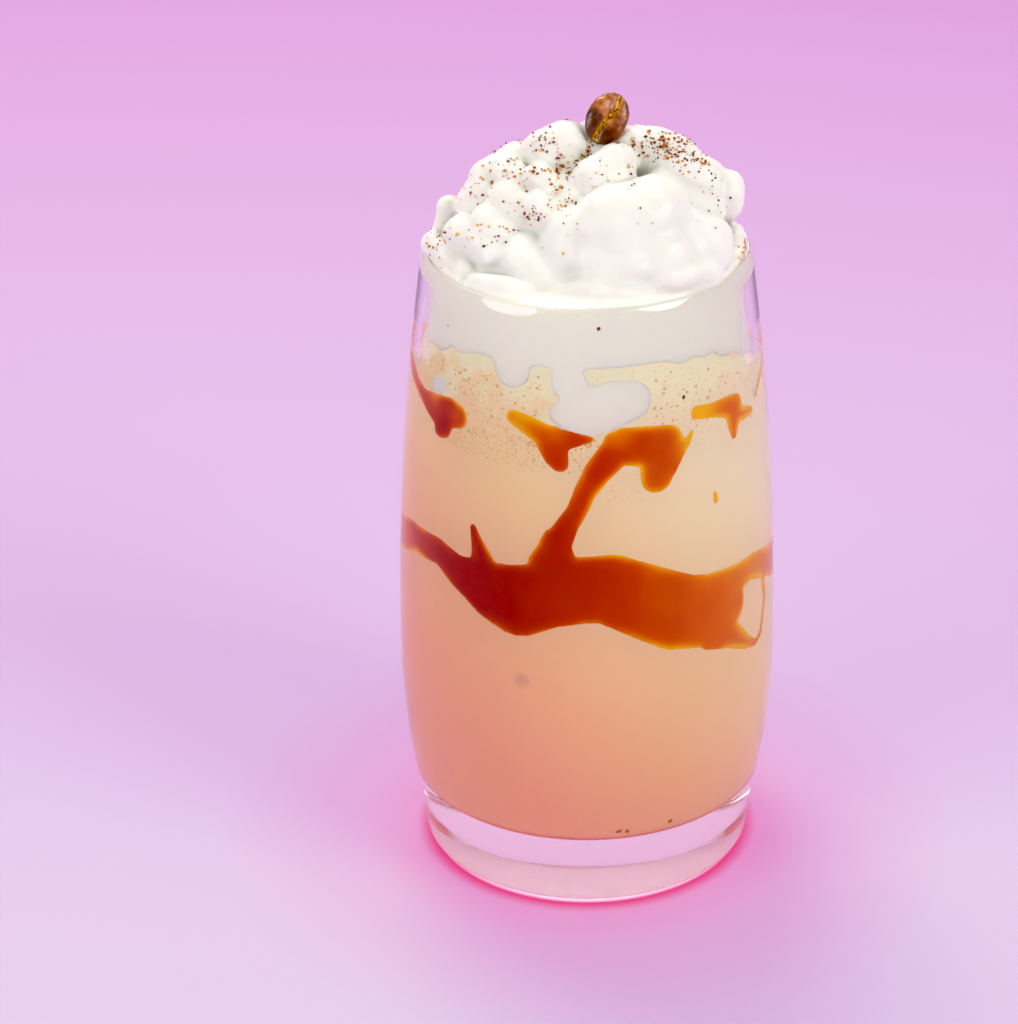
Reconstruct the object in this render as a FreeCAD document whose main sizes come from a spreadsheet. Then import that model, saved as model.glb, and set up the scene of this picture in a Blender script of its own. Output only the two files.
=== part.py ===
# Milkshake in a barrel-shaped glass tumbler, topped with whipped cream and one coffee bean.
#
# Frame: millimetres, +Z up, the origin at the middle of the foot on the table, the front towards -Y.
# From the bottom up: a heavy glass base, the milkshake, a layer of froth, the whipped cream that fills
# the mouth and stands above it in lobes, and the bean that leans on the top of the cream.

import FreeCAD
import Part
import Sketcher

import math
import os

# The driving dimensions: name, value in millimetres or degrees, and what it is.
SIZES = [
    ("glass_height", 132.5, "foot to rim"),
    ("belly_radius", 39.0, "outside radius where the glass is widest"),
    ("belly_height", 44.5, "height of the widest ring"),
    ("rim_inset", 6.3, "how far the rim stands in from the belly"),
    ("rim_wall", 1.4, "glass thickness at the rim"),
    ("lip_round", 0.6, "rounding of both edges of the rim"),
    ("shoulder_height", 8.8, "top of the solid base's straight side"),
    ("shoulder_inset", 3.8, "how far that edge stands in from the belly"),
    ("foot_inset", 4.5, "how far the foot stands in from the belly"),
    ("foot_round", 1.8, "rounding of the foot's outer edge"),
    ("foot_ring", 3.6, "width of the flat ring that the glass stands on"),
    ("punt_depth", 1.2, "depth of the hollow under the base"),
    ("wall", 2.0, "glass thickness at the belly"),
    ("base_thickness", 15.4, "height of the glass below the drink"),
    ("corner_round", 3.0, "rounding inside, between the base and the wall"),
    ("cream_depth", 10.0, "rim down to the underside of the cream"),
    ("froth_depth", 22.0, "thickness of the froth"),
    ("cream_headroom", 3.2, "rim down to where the cream leaves the wall"),
    ("drip_lobe", 6.5, "radius of the cream lobes that sink into the froth"),
    ("drip_drop", 5.4, "their centres below the underside of the cream"),
    ("drip_inset", 3.6, "their centres in from the wall of the glass"),
    ("dome_radius", 26.5, "radius of the heap's core where it leaves the glass"),
    ("dome_rise", 21.0, "top of the heap's core above the rim"),
    ("lobe_clearance", 0.4, "gap between the lobes and the mouth of the glass"),
    ("skirt_lobe", 8.6, "radius of the lobes round the mouth"),
    ("skirt_rise", 3.4, "their centres above the rim"),
    ("middle_lobe", 9.4, "radius of the second ring of lobes"),
    ("middle_reach", 14.6, "their centres from the axis"),
    ("middle_rise", 9.6, "their centres above the rim"),
    ("upper_lobe", 8.0, "radius of the third ring of lobes"),
    ("upper_reach", 7.4, "their centres from the axis"),
    ("upper_rise", 15.6, "their centres above the rim"),
    ("lobe_squash", 0.84, "height of a lobe as a share of its radius"),
    ("lobe_stretch", 1.22, "its length round the heap as a share of its radius"),
    ("crown_lobe", 7.6, "radius of the lobe on top"),
    ("crown_right", 1.6, "its centre to the right of the axis"),
    ("crown_back", 1.5, "its centre behind the axis"),
    ("crown_rise", 18.4, "its centre above the rim"),
    ("bean_length", 10.4, "coffee bean, tip to tip"),
    ("bean_width", 8.1, "across its split face"),
    ("bean_back", 3.1, "height of its rounded back"),
    ("bean_face", 1.9, "height of its split face"),
    ("crease_width", 0.7, "width of the crease along the split face"),
    ("crease_floor", 0.9, "its bottom above the bean's middle plane"),
    ("crease_bend", 9.0, "radius of each half of its S"),
    ("crease_margin", 0.5, "how far it stops short of each tip"),
    ("bean_lean", 27.0, "lean to the right, in degrees"),
    ("bean_recline", 20.0, "lean to the back, in degrees"),
    ("bean_sink", 3.2, "how deep its lower tip sits below the top of the cream"),
    ("bean_forward", 4.0, "its lower tip in front of the axis"),
]

# The rings of lobes of the cream heap: name, how many, the first one's angle, and how much they sway.
LOBE_RINGS = [("skirt", 9, 20.0, 0.12), ("middle", 6, 4.0, 0.14), ("upper", 3, 35.0, 0.08)]
SWAY_TURN = 137.5     # degrees of sway from one lobe to the next, so that no two are alike
DRIP_ANGLES = [-142, -112, -93, -75, -30, 20, 70, 125]    # where cream sinks into the froth

# Heights and radii that several pieces share, as formulas of the sheet.
MOUTH_RADIUS = "(Sizes.belly_radius - Sizes.rim_inset - Sizes.rim_wall)"
FOOT_RADIUS = "(Sizes.belly_radius - Sizes.foot_inset)"
PUNT_RADIUS = "(Sizes.belly_radius - Sizes.foot_inset - Sizes.foot_round - Sizes.foot_ring)"
INNER_BELLY = "(Sizes.belly_radius - Sizes.wall)"
CREAM_BOTTOM = "(Sizes.glass_height - Sizes.cream_depth)"
CREAM_TOP = "(Sizes.glass_height - Sizes.cream_headroom)"
FROTH_BOTTOM = "(Sizes.glass_height - Sizes.cream_depth - Sizes.froth_depth)"
SHOULDER_DROP = "(Sizes.belly_height - Sizes.shoulder_height)"
LOWER_CURVE = "((Sizes.shoulder_inset ^ 2 + %s ^ 2) / (2 * Sizes.shoulder_inset))" % SHOULDER_DROP
FLOOR_RADIUS = ("(Sizes.belly_radius - %s + sqrt((%s - Sizes.wall) ^ 2"
                " - (Sizes.belly_height - Sizes.base_thickness) ^ 2))") % (LOWER_CURVE, LOWER_CURVE)

# Corners of the glass's half section, as (radius, height).
RIM = ("Sizes.belly_radius - Sizes.rim_inset", "Sizes.glass_height")
MOUTH = (MOUTH_RADIUS, "Sizes.glass_height")
BELLY = ("Sizes.belly_radius", "Sizes.belly_height")
BELLY_INSIDE = (INNER_BELLY, "Sizes.belly_height")
FLOOR_CORNER = (FLOOR_RADIUS, "Sizes.base_thickness")
FLOOR_MIDDLE = ("0", "Sizes.base_thickness")
SHOULDER = ("Sizes.belly_radius - Sizes.shoulder_inset", "Sizes.shoulder_height")
FOOT = (FOOT_RADIUS, "0")
PUNT_EDGE = (PUNT_RADIUS, "0")
PUNT_MIDDLE = ("0", "Sizes.punt_depth")
MOUTH_MIDDLE = ("0", "Sizes.glass_height")


def make_sheet(doc):
    sheet = doc.addObject("Spreadsheet::Sheet", "Sizes")
    for row, (alias, value, note) in enumerate(SIZES, start=1):
        sheet.set("A%d" % row, str(value))
        sheet.set("B%d" % row, note)
        sheet.setAlias("A%d" % row, alias)
    doc.recompute()
    return sheet


def number(doc, formula):
    """The value that a formula of the sheet has now."""
    return float(doc.Sizes.evalExpression(formula))


def bind(thing, **formulas):
    """Binds a thing's properties to formulas of the sheet; x, y and z are its place."""
    for name, formula in formulas.items():
        path = "Placement.Base." + name if name in ("x", "y", "z") else name
        thing.setExpression(path, formula)


class Outline:
    """A closed half section in radius and height, drawn corner by corner and bound to the sheet."""

    def __init__(self, body, start):
        self.doc = body.Document
        self.sketch = body.newObject("Sketcher::SketchObject", body.Name + "_section")
        plane = [f for f in body.Origin.OriginFeatures if f.Role == "XZ_Plane"][0]
        self.sketch.AttachmentSupport = [(plane, "")]
        self.sketch.MapMode = "FlatFace"
        self.corner = start
        self.end = None        # the sketch point where the last piece ended
        self.start = None      # the sketch point where the first piece began

    def place(self, corner):
        return FreeCAD.Vector(number(self.doc, corner[0]), number(self.doc, corner[1]), 0)

    def join(self, begin, end, corner):
        """Ties a new piece to the last one and pins its far end to a corner."""
        if self.end is None:
            self.start = begin
            self.pin(begin, self.corner)
        else:
            self.sketch.addConstraint(Sketcher.Constraint("Coincident", *self.end, *begin))
        self.pin(end, corner)
        self.end = end
        self.corner = corner

    def pin(self, point, corner):
        for kind, formula, axis in (("DistanceX", corner[0], -2), ("DistanceY", corner[1], -1)):
            if formula == "0":
                self.sketch.addConstraint(Sketcher.Constraint("PointOnObject", *point, axis))
            else:
                value = number(self.doc, formula)
                index = self.sketch.addConstraint(Sketcher.Constraint(kind, -1, 1, *point, value))
                self.sketch.setExpression("Constraints[%d]" % index, formula)

    def line_to(self, corner):
        piece = self.sketch.addGeometry(Part.LineSegment(self.place(self.corner), self.place(corner)))
        self.join((piece, 1), (piece, 2), corner)

    def arc_to(self, corner, centre):
        """An arc about a centre; a sketch keeps its arcs anticlockwise, whichever way they are drawn."""
        spokes = [self.place(self.corner) - centre, self.place(corner) - centre]
        angles = [math.atan2(spoke.y, spoke.x) for spoke in spokes]
        forward = angles[1] > angles[0]
        circle = Part.Circle(centre, FreeCAD.Vector(0, 0, 1), spokes[0].Length)
        piece = self.sketch.addGeometry(Part.ArcOfCircle(circle, min(angles), max(angles)))
        ends = [(piece, 1), (piece, 2)] if forward else [(piece, 2), (piece, 1)]
        self.join(ends[0], ends[1], corner)
        return piece

    def bow_to(self, corner):
        """A side of the barrel: an arc upright at the belly, so that its centre is level with it."""
        near, far = self.place(self.corner), self.place(corner)
        level = number(self.doc, "Sizes.belly_height")
        wide, narrow = sorted((near, far), key=lambda point: abs(point.y - level))
        inset = wide.x - narrow.x
        radius = (inset ** 2 + (narrow.y - level) ** 2) / (2 * inset)
        piece = self.arc_to(corner, FreeCAD.Vector(wide.x - radius, level, 0))
        wide_end = self.end if far == wide else (piece, 3 - self.end[1])
        self.sketch.addConstraint(Sketcher.Constraint("Horizontal", piece, 3, *wide_end))

    def dome_to(self, corner):
        """A hollow or dome over the axis: an arc whose centre is on the axis."""
        near, far = self.place(self.corner), self.place(corner)
        depth, reach = near.y - far.y, far.x
        drop = (reach ** 2 - depth ** 2) / (2 * depth)
        piece = self.arc_to(corner, FreeCAD.Vector(0, far.y - drop, 0))
        self.sketch.addConstraint(Sketcher.Constraint("PointOnObject", piece, 3, -2))

    def close(self):
        """Shuts the outline along the axis."""
        first = self.start
        last = self.end
        points = [self.sketch.getPoint(*last), self.sketch.getPoint(*first)]
        piece = self.sketch.addGeometry(Part.LineSegment(*points))
        self.sketch.addConstraint(Sketcher.Constraint("Coincident", *last, piece, 1))
        self.sketch.addConstraint(Sketcher.Constraint("Coincident", piece, 2, *first))
        return self.sketch


def revolve(body, section):
    turned = body.newObject("PartDesign::Revolution", body.Name + "_turned")
    turned.Profile = section
    turned.ReferenceAxis = (section, ["V_Axis"])
    turned.Angle = 360
    body.Document.recompute()
    return turned


def round_rings(body, base, rings, size):
    """Rounds the circular edges that lie at the given corners of the section."""
    doc = body.Document
    names = []
    for radius, height in [(number(doc, r), number(doc, z)) for r, z in rings]:
        for index, edge in enumerate(base.Shape.Edges, start=1):
            box = edge.BoundBox
            flat = box.ZLength < 1e-6 and abs(box.ZMax - height) < 1e-4
            if flat and abs(box.XMax - radius) < 1e-3:
                names.append("Edge%d" % index)
    fillet = body.newObject("PartDesign::Fillet", "%s_round%d" % (body.Name, len(body.Group)))
    fillet.Base = (base, names)
    bind(fillet, Radius=size)
    doc.recompute()
    return fillet


def make_glass(doc):
    """The tumbler: heavy base with a hollow under it, barrel-shaped wall and rounded lip."""
    body = doc.addObject("PartDesign::Body", "glass_tumbler")
    outline = Outline(body, PUNT_MIDDLE)
    outline.dome_to(PUNT_EDGE)
    outline.line_to(FOOT)
    outline.line_to(SHOULDER)
    outline.bow_to(BELLY)
    outline.bow_to(RIM)
    outline.line_to(MOUTH)
    outline.bow_to(BELLY_INSIDE)
    outline.bow_to(FLOOR_CORNER)
    outline.line_to(FLOOR_MIDDLE)
    turned = revolve(body, outline.close())
    foot = round_rings(body, turned, [FOOT], "Sizes.foot_round")
    corner = round_rings(body, foot, [FLOOR_CORNER], "Sizes.corner_round")
    round_rings(body, corner, [RIM, MOUTH], "Sizes.lip_round")
    return body


def make_cavity(doc):
    """The space inside the glass, up to the rim, which the drink, froth and cream share."""
    body = doc.addObject("PartDesign::Body", "cavity")
    outline = Outline(body, FLOOR_MIDDLE)
    outline.line_to(FLOOR_CORNER)
    outline.bow_to(BELLY_INSIDE)
    outline.bow_to(MOUTH)
    outline.line_to(MOUTH_MIDDLE)
    turned = revolve(body, outline.close())
    round_rings(body, turned, [FLOOR_CORNER], "Sizes.corner_round")
    return body


def boolean(doc, kind, name, base, tool):
    result = doc.addObject("Part::" + kind, name)
    result.Base = base
    result.Tool = tool
    return result


def fuse_all(doc, name, pieces):
    result = doc.addObject("Part::MultiFuse", name)
    result.Shapes = pieces
    return result


def make_level(doc, cavity, name, bottom, top):
    """What fills the cavity from one height to another."""
    slab = doc.addObject("Part::Cylinder", name + "_slab")
    bind(slab, Radius="Sizes.belly_radius", Height="%s - %s" % (top, bottom), z=bottom)
    return boolean(doc, "Common", name, cavity, slab)


def make_lobe(doc, name, radius, angle, reach, height):
    """One soft lobe of cream, at an angle and a reach from the axis, longest round the heap."""
    lobe = doc.addObject("Part::Ellipsoid", name)
    lobe.Placement.Rotation = FreeCAD.Rotation(FreeCAD.Vector(0, 0, 1), angle)
    bind(lobe, Radius1="%s * Sizes.lobe_squash" % radius, Radius2=radius,
         Radius3="%s * Sizes.lobe_stretch" % radius, x="(%s) * cos(%g deg)" % (reach, angle),
         y="(%s) * sin(%g deg)" % (reach, angle), z=height)
    return lobe


def make_drips(doc):
    """The lobes of cream that sink into the froth along the wall."""
    drips = []
    for index, angle in enumerate(DRIP_ANGLES):
        sway = 1 + 0.18 * math.sin(math.radians(SWAY_TURN * (index + 1)))
        reach = "%s - Sizes.drip_inset" % MOUTH_RADIUS
        height = "%s - %.3f * Sizes.drip_drop" % (CREAM_BOTTOM, sway)
        radius = "%.3f * Sizes.drip_lobe" % sway
        drips.append(make_lobe(doc, "drip_%d" % index, radius, angle, reach, height))
    return fuse_all(doc, "drips", drips)


def make_heap(doc):
    """The heap above the rim: a core, three rings of lobes and a crown."""
    core = doc.addObject("Part::Ellipsoid", "core")
    core.Angle1 = 0
    core.Angle2 = 90
    bind(core, Radius1="Sizes.dome_rise + Sizes.cream_headroom", Radius2="Sizes.dome_radius",
         Radius3="Sizes.dome_radius", z=CREAM_TOP)
    pieces = [core]
    for ring, count, first, share in LOBE_RINGS:
        for index in range(count):
            sway = 1 + share * math.sin(math.radians(SWAY_TURN * index))
            radius = "%.3f * Sizes.%s_lobe" % (sway, ring)
            reach = "Sizes.%s_reach" % ring
            if ring == "skirt":
                reach = "%s - Sizes.lobe_clearance - %s" % (MOUTH_RADIUS, radius)
            height = "Sizes.glass_height + %.3f * Sizes.%s_rise" % (sway, ring)
            angle = first + 360.0 * (index + share * math.sin(2.0 * index)) / count
            pieces.append(make_lobe(doc, "%s_%d" % (ring, index), radius, angle, reach, height))
    crown = doc.addObject("Part::Sphere", "crown")
    bind(crown, Radius="Sizes.crown_lobe", x="Sizes.crown_right", y="Sizes.crown_back",
         z="Sizes.glass_height + Sizes.crown_rise")
    return pieces + [crown]


def make_bean_half(doc, name, height, turn):
    """Half of the bean's ellipsoid, from its middle plane out to one side."""
    half = doc.addObject("Part::Ellipsoid", name)
    half.Angle3 = 180
    half.Placement.Rotation = FreeCAD.Rotation(FreeCAD.Vector(0, 0, 1), turn)
    bind(half, Radius1="Sizes.bean_length / 2", Radius2="Sizes.bean_width / 2", Radius3=height)
    return half


def make_crease_half(doc, name, turn):
    """Half of the S-shaped crease: a curved slot that starts at the middle of the split face."""
    sides = []
    for side, sign in (("outer", "+"), ("inner", "-")):
        bow = doc.addObject("Part::Cylinder", "%s_%s" % (name, side))
        bow.Placement.Rotation = FreeCAD.Rotation(FreeCAD.Vector(1, 0, 0), 90)
        bind(bow, Radius="Sizes.crease_bend %s Sizes.crease_width / 2" % sign,
             Height="Sizes.bean_face - Sizes.crease_floor + 1", x="-Sizes.crease_bend",
             y="-Sizes.crease_floor")
        sides.append(bow)
    bind(sides[0], Angle="asin((Sizes.bean_length / 2 - Sizes.crease_margin) / Sizes.crease_bend)")
    slot = boolean(doc, "Cut", name, sides[0], sides[1])
    slot.Placement.Rotation = FreeCAD.Rotation(FreeCAD.Vector(0, 1, 0), turn)
    return slot


def make_bean(doc):
    """The coffee bean, split face to the front, with its lower tip in the top of the cream."""
    back = make_bean_half(doc, "bean_back_half", "Sizes.bean_back", 0)
    face = make_bean_half(doc, "bean_face_half", "Sizes.bean_face", 180)
    whole = boolean(doc, "Fuse", "bean_whole", back, face)
    creases = [make_crease_half(doc, "crease_upper", 0), make_crease_half(doc, "crease_lower", 180)]
    bean = boolean(doc, "Cut", "coffee_bean", whole, fuse_all(doc, "crease", creases))
    reach = "(Sizes.bean_length / 2)"
    right = "Sizes.crown_right + %s * sin(Sizes.bean_lean * 1 deg)" % reach
    back = "%s * cos(Sizes.bean_lean * 1 deg) * sin(Sizes.bean_recline * 1 deg) - Sizes.bean_forward" % reach
    crown_top = "Sizes.glass_height + Sizes.crown_rise + Sizes.crown_lobe - Sizes.bean_sink"
    up = "%s + %s * cos(Sizes.bean_lean * 1 deg) * cos(Sizes.bean_recline * 1 deg)" % (crown_top, reach)
    turn = "rotation(0; Sizes.bean_lean; -Sizes.bean_recline)"
    bean.setExpression("Placement", "placement(vector(%s; %s; %s); %s)" % (right, back, up, turn))
    return bean


def make_contents(doc, cavity):
    """The drink, the froth and the cream, each filling the glass to the next one's underside."""
    drink = make_level(doc, cavity, "milkshake", "Sizes.base_thickness", FROTH_BOTTOM)
    froth_level = make_level(doc, cavity, "froth_level", FROTH_BOTTOM, CREAM_BOTTOM)
    cream_level = make_level(doc, cavity, "cream_level", CREAM_BOTTOM, CREAM_TOP)
    drips = make_drips(doc)
    froth = boolean(doc, "Cut", "froth", froth_level, drips)
    sunk = boolean(doc, "Common", "sunk_cream", froth_level, drips)
    heap = fuse_all(doc, "cream_heap", [cream_level, sunk] + make_heap(doc))
    bean = make_bean(doc)
    cream = boolean(doc, "Cut", "whipped_cream", heap, bean)
    return [drink, froth, cream, bean]


def check(doc, nodes):
    """Stops the build if any object failed or any piece isn't one good solid."""
    for thing in doc.Objects:
        if {"Invalid", "Error"} & set(thing.State):
            raise RuntimeError("%s failed: %s" % (thing.Name, thing.State))
    for node in nodes:
        shape = node.Shape
        if shape.isNull() or not shape.isValid() or len(shape.Solids) != 1:
            raise RuntimeError("%s isn't one good solid: %d" % (node.Label, len(shape.Solids)))


def main():
    doc = FreeCAD.newDocument("milkshake_part")
    make_sheet(doc)
    glass = make_glass(doc)
    nodes = [glass] + make_contents(doc, make_cavity(doc))
    doc.recompute()
    for node in nodes:
        node.Label = node.Name
    check(doc, nodes)
    os.makedirs("parts", exist_ok=True)
    for node in nodes:
        node.Shape.exportStep("parts/%s.step" % node.Label)
        box = node.Shape.BoundBox
        print("%-14s %8.1f mm3  z %.1f to %.1f" % (node.Label, node.Shape.Volume, box.ZMin, box.ZMax))


main()
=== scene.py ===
import bmesh
import bpy
import math
import random
from mathutils import Matrix, Vector, noise
from mathutils.bvhtree import BVHTree
from mathutils.kdtree import KDTree


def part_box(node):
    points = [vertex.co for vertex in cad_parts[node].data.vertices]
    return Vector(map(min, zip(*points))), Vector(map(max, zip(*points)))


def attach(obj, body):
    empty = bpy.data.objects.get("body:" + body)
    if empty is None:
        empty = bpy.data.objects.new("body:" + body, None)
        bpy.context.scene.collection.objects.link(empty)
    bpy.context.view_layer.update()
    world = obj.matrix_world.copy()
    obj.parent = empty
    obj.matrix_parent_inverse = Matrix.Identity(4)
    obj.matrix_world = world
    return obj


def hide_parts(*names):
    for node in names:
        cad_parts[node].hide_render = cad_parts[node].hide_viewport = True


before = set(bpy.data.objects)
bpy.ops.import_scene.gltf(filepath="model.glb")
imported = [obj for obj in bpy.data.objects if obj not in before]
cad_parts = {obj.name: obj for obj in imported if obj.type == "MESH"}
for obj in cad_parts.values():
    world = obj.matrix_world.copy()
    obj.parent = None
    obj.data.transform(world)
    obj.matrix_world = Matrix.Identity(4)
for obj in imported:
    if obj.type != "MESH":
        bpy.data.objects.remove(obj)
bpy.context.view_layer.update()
scene = bpy.context.scene
mm = 0.001

# view

viewMake = {"blackLevel": (0.03, 0.033, 0.04), "bounces": 20, "softBounces": 8, "glassBounces": 16}

scene.view_settings.view_transform = "Standard"
scene.view_settings.use_curve_mapping = True
scene.view_settings.curve_mapping.black_level = viewMake["blackLevel"]
scene.view_settings.curve_mapping.update()
scene.cycles.max_bounces = viewMake["bounces"]
scene.cycles.diffuse_bounces = viewMake["softBounces"]
scene.cycles.glossy_bounces = viewMake["softBounces"]
scene.cycles.transmission_bounces = viewMake["glassBounces"]
print("view set")

# shared helpers


def addPiece(name, mesh, material, replaced=None):
    # turns a bmesh into a smooth piece of the milkshake
    data = bpy.data.meshes.new(name)
    mesh.to_mesh(data)
    mesh.free()
    data.materials.append(material)
    data.shade_smooth()
    data.set_sharp_from_angle(angle=math.radians(50))
    piece = bpy.data.objects.new(name, data)
    scene.collection.objects.link(piece)
    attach(piece, "root")
    if replaced:
        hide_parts(replaced)
    print("made", name, "with", len(data.polygons), "faces")


def melt(mesh, voxel, rounds):
    # joins overlapping lumps into one skin and softens its creases
    lump = bpy.data.objects.new("lump", bpy.data.meshes.new("lump"))
    mesh.to_mesh(lump.data)
    scene.collection.objects.link(lump)
    skin = lump.modifiers.new("skin", "REMESH")
    skin.mode = "VOXEL"
    skin.voxel_size = voxel
    soften = lump.modifiers.new("soften", "SMOOTH")
    soften.factor = 0.5
    soften.iterations = rounds
    melted = bpy.data.meshes.new_from_object(lump.evaluated_get(bpy.context.evaluated_depsgraph_get()))
    mesh.clear()
    mesh.from_mesh(melted)
    lumpData = lump.data
    bpy.data.objects.remove(lump)
    bpy.data.meshes.remove(lumpData)
    bpy.data.meshes.remove(melted)


def turned(outline, segments):
    # spins an outline of (radius, height) about the upright axis
    mesh = bmesh.new()
    verts = [mesh.verts.new((radius, 0, height)) for radius, height in outline]
    edges = [mesh.edges.new(pair) for pair in zip(verts, verts[1:])]
    bmesh.ops.spin(mesh, geom=verts + edges, cent=(0, 0, 0), axis=(0, 0, 1),
                   angle=math.tau, steps=segments, use_merge=True)
    bmesh.ops.remove_doubles(mesh, verts=mesh.verts, dist=1e-6)
    bmesh.ops.recalc_face_normals(mesh, faces=mesh.faces)
    return mesh


def spread(start, stop, count):
    return [start + (stop - start) * step / count for step in range(count + 1)]


def arc(middle, radius, start, stop, count):
    # points of a circle of that radius between two angles in degrees
    return [(middle[0] + radius * math.cos(math.radians(angle)), middle[1] + radius * math.sin(math.radians(angle)))
            for angle in spread(start, stop, count)]


def newMaterial(name, roughness, ior=1.45):
    material = bpy.data.materials.new(name)
    material.use_nodes = True
    shader = material.node_tree.nodes["Principled BSDF"]
    shader.inputs["Roughness"].default_value = roughness
    shader.inputs["IOR"].default_value = ior
    return material, shader


def addNode(material, kind, inputs=None, **settings):
    # adds a node; an input that is a socket is linked, any other is set
    node = material.node_tree.nodes.new("ShaderNode" + kind)
    for name, value in settings.items():
        setattr(node, name, value)
    for name, value in (inputs or {}).items():
        if isinstance(value, bpy.types.NodeSocket):
            material.node_tree.links.new(value, node.inputs[name])
        else:
            node.inputs[name].default_value = value
    return node


def addRamp(material, factor, stops):
    # a colour ramp with stops of (position, colour)
    node = addNode(material, "ValToRGB", {"Fac": factor})
    ramp = node.color_ramp
    while len(ramp.elements) < len(stops):
        ramp.elements.new(1)
    for element, (position, colour) in zip(ramp.elements, stops):
        element.position = position
        element.color = (*colour, 1)
    return node.outputs["Color"]


def addBump(material, shader, height, strength, distance):
    node = addNode(material, "Bump", {"Height": height, "Strength": strength, "Distance": distance})
    material.node_tree.links.new(node.outputs["Normal"], shader.inputs["Normal"])


def mixColour(material, factor, first, second, blend="MIX"):
    # a colour given as three numbers is made opaque
    first, second = ((*colour, 1) if isinstance(colour, tuple) else colour for colour in (first, second))
    node = addNode(material, "Mix", {"Factor": factor, "A": first, "B": second}, data_type="RGBA", blend_type=blend)
    return node.outputs["Result"]


def mapRange(material, value, start, end, low=0, high=1):
    return addNode(material, "MapRange", {"Value": value, "From Min": start, "From Max": end,
                                          "To Min": low, "To Max": high}).outputs["Result"]


def doMath(material, operation, *values):
    return addNode(material, "Math", dict(enumerate(values)), operation=operation).outputs[0]


def objectPlace(material):
    return addNode(material, "TexCoord").outputs["Object"]


def addNoise(material, place, scale, detail=3, roughness=0.5):
    return addNode(material, "TexNoise", {"Vector": place, "Scale": scale, "Detail": detail,
                                          "Roughness": roughness}).outputs["Fac"]


def plug(material, socket, shader, name):
    material.node_tree.links.new(socket, shader.inputs[name])


# camera, floor and lights

cameraMake = {"lens": 116.2, "back": 0.60797, "up": 0.38119, "tilt": 63.13, "shift": -0.0759}

camera = bpy.data.objects.new("camera", bpy.data.cameras.new("camera"))
camera.data.lens = cameraMake["lens"]
camera.data.shift_x = cameraMake["shift"]
camera.location = (0, -cameraMake["back"], cameraMake["up"])
camera.rotation_euler.x = math.radians(cameraMake["tilt"])
scene.collection.objects.link(camera)
scene.camera = camera

studioMake = {
    "floorSize": 8, "floorDrop": 0.1 * mm, "aimHeight": 0.08, "floorFade": (-0.08, 0.56),
    "floorNear": (0.24, 0.37, 0.275), "floorFar": (0.245, 0.235, 0.228),
    # the glow keys paint light into the floor: a faint glow all over, a bright pool under the glass and a magenta line
    # at its foot
    "glowReach": 80 * mm, "glowMiddle": (0, -1.4 * mm, 0), "glowStrength": 1.4,
    "glowRings": [(0, (1.0, 0.72, 0.95)), (0.395, (1.0, 0.68, 0.88)), (0.413, (0.57, 0.036, 0.17)),
                  (0.427, (0.54, 0.057, 0.214)), (0.455, (0.47, 0.10, 0.34)), (0.62, (0.37, 0.07, 0.33)),
                  (1, (0.30, 0.057, 0.32))],
    # shadeRings paint a shadow onto the floor around the glass foot
    "shadeRings": [(0, 0.05), (0.418, 0.05), (0.455, 0.52), (0.61, 0.78), (1, 1)],
    "skyTop": (0.36, 0.37, 0.33), "skyLow": (0.40, 0.29, 0.37), "skyFade": (0.25, 0.6),
    "backdrop": (0.84, 0.50, 0.74), "backdropFade": (0.2, 0.5), "backdropTop": (0.85, 0.7),
    "keyPlace": (0.84, -0.58, 0.62), "keySize": 0.7, "keyPower": 11.2,
    "rimPlace": (-0.22, 0.58, 1.0), "rimSize": 0.6, "rimPower": 8.5,
    "fillPlace": (-0.86, -0.62, 0.46), "fillSize": 0.8, "fillPower": 8.6,
}


def makeFloor():
    mesh = bmesh.new()
    bmesh.ops.create_grid(mesh, x_segments=1, y_segments=1, size=studioMake["floorSize"] / 2)
    bmesh.ops.translate(mesh, verts=mesh.verts, vec=(0, 0, -studioMake["floorDrop"]))
    data = bpy.data.meshes.new("floor")
    mesh.to_mesh(data)
    mesh.free()
    material, shader = newMaterial("paleFloor", 0.7)
    back = addNode(material, "SeparateXYZ", {"Vector": objectPlace(material)}).outputs["Y"]
    far = mapRange(material, back, *studioMake["floorFade"])
    colour = addRamp(material, far, [(0, studioMake["floorNear"]), (1, studioMake["floorFar"])])
    shader.inputs["Specular IOR Level"].default_value = 0.2
    # painted light: the whole floor glows a little, which lifts and tints its shadows magenta, with a brighter painted
    # pool of light under the glass and a deep magenta painted line at its foot
    away = addNode(material, "VectorMath", {0: objectPlace(material), 1: studioMake["glowMiddle"]},
                   operation="DISTANCE").outputs["Value"]
    ring = mapRange(material, away, 0, studioMake["glowReach"])
    plug(material, addRamp(material, ring, studioMake["glowRings"]), shader, "Emission Color")
    # painted shadow: the floor's colour is darkened under and around the glass foot
    shade = addRamp(material, ring, [(place, (grey, grey, grey)) for place, grey in studioMake["shadeRings"]])
    plug(material, mixColour(material, 1, colour, shade, "MULTIPLY"), shader, "Base Color")
    shader.inputs["Emission Strength"].default_value = studioMake["glowStrength"]
    data.materials.append(material)
    floor = bpy.data.objects.new("floor", data)
    scene.collection.objects.link(floor)


def addLight(name, place, size, power):
    lamp = bpy.data.lights.new(name, "AREA")
    lamp.shape = "DISK"
    lamp.size = size
    lamp.energy = power
    light = bpy.data.objects.new(name, lamp)
    light.location = place
    light.rotation_euler = (Vector((0, 0, studioMake["aimHeight"])) - Vector(place)).to_track_quat("-Z", "Y").to_euler()
    scene.collection.objects.link(light)


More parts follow.
